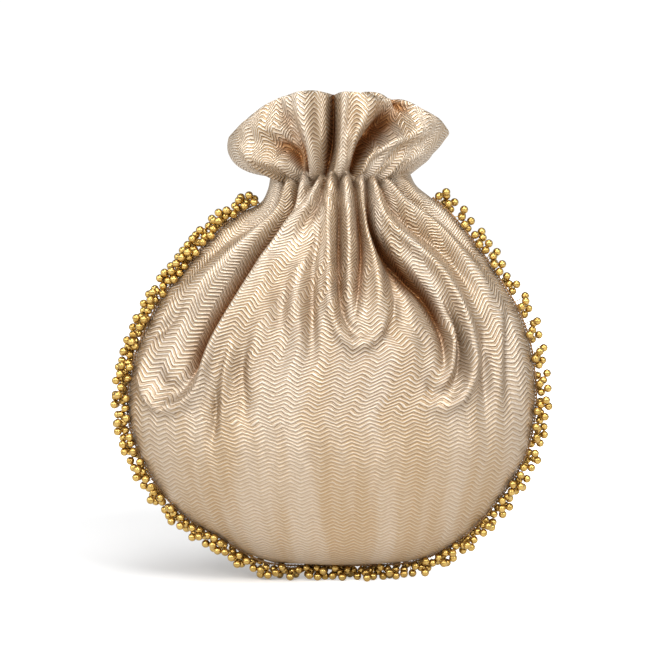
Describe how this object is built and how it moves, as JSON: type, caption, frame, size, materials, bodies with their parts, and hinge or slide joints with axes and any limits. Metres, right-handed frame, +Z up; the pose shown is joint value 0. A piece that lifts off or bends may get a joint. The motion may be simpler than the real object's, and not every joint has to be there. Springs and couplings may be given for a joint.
{
  "type": "potli bag",
  "caption": "Round drawstring pouch of ribbed metallic cloth, drawn shut at the neck under an open frill, with small metal beads sewn in clusters along its seam.",
  "frame": {"origin": "on the surface that the bag stands on, under the middle of its bounding box", "axes": "+Z up, from the bag's base to its frill; +X to the right of someone who faces the front panel; -Y towards the front panel"},
  "size_m": [0.2014, 0.0706, 0.22],
  "materials": {
    "cloth": "champagne gold metallic cloth with woven zigzag ribs, satin",
    "drawcord": "braided cord, matte",
    "trim_thread": "brown sewing thread, twisted",
    "gold_beads": "polished antique gold"
  },
  "bodies": {
    "root": {"front_panel": "cloth", "back_panel": "cloth", "neck_drawcord": "drawcord", "trim_cord": "trim_thread", "bead_cluster_01": "gold_beads", "bead_cluster_02": "gold_beads", "bead_cluster_03": "gold_beads", "bead_cluster_04": "gold_beads", "bead_cluster_05": "gold_beads", "bead_cluster_06": "gold_beads", "bead_cluster_07": "gold_beads", "bead_cluster_08": "gold_beads", "bead_cluster_09": "gold_beads", "bead_cluster_10": "gold_beads", "bead_cluster_11": "gold_beads", "bead_cluster_12": "gold_beads", "bead_cluster_13": "gold_beads", "bead_cluster_14": "gold_beads", "bead_cluster_15": "gold_beads", "bead_cluster_16": "gold_beads", "bead_cluster_17": "gold_beads", "bead_cluster_18": "gold_beads", "bead_cluster_19": "gold_beads", "bead_cluster_20": "gold_beads", "bead_cluster_21": "gold_beads", "bead_cluster_22": "gold_beads", "bead_cluster_23": "gold_beads", "bead_cluster_24": "gold_beads", "bead_cluster_25": "gold_beads", "bead_cluster_26": "gold_beads", "bead_cluster_27": "gold_beads", "bead_cluster_28": "gold_beads", "bead_cluster_29": "gold_beads", "bead_cluster_30": "gold_beads", "bead_cluster_31": "gold_beads", "bead_cluster_32": "gold_beads", "bead_cluster_33": "gold_beads", "bead_cluster_34": "gold_beads", "bead_cluster_35": "gold_beads", "bead_cluster_36": "gold_beads", "bead_cluster_37": "gold_beads", "bead_cluster_38": "gold_beads", "bead_cluster_39": "gold_beads", "bead_cluster_40": "gold_beads", "bead_cluster_41": "gold_beads", "bead_cluster_42": "gold_beads"}
  },
  "joints": []
}
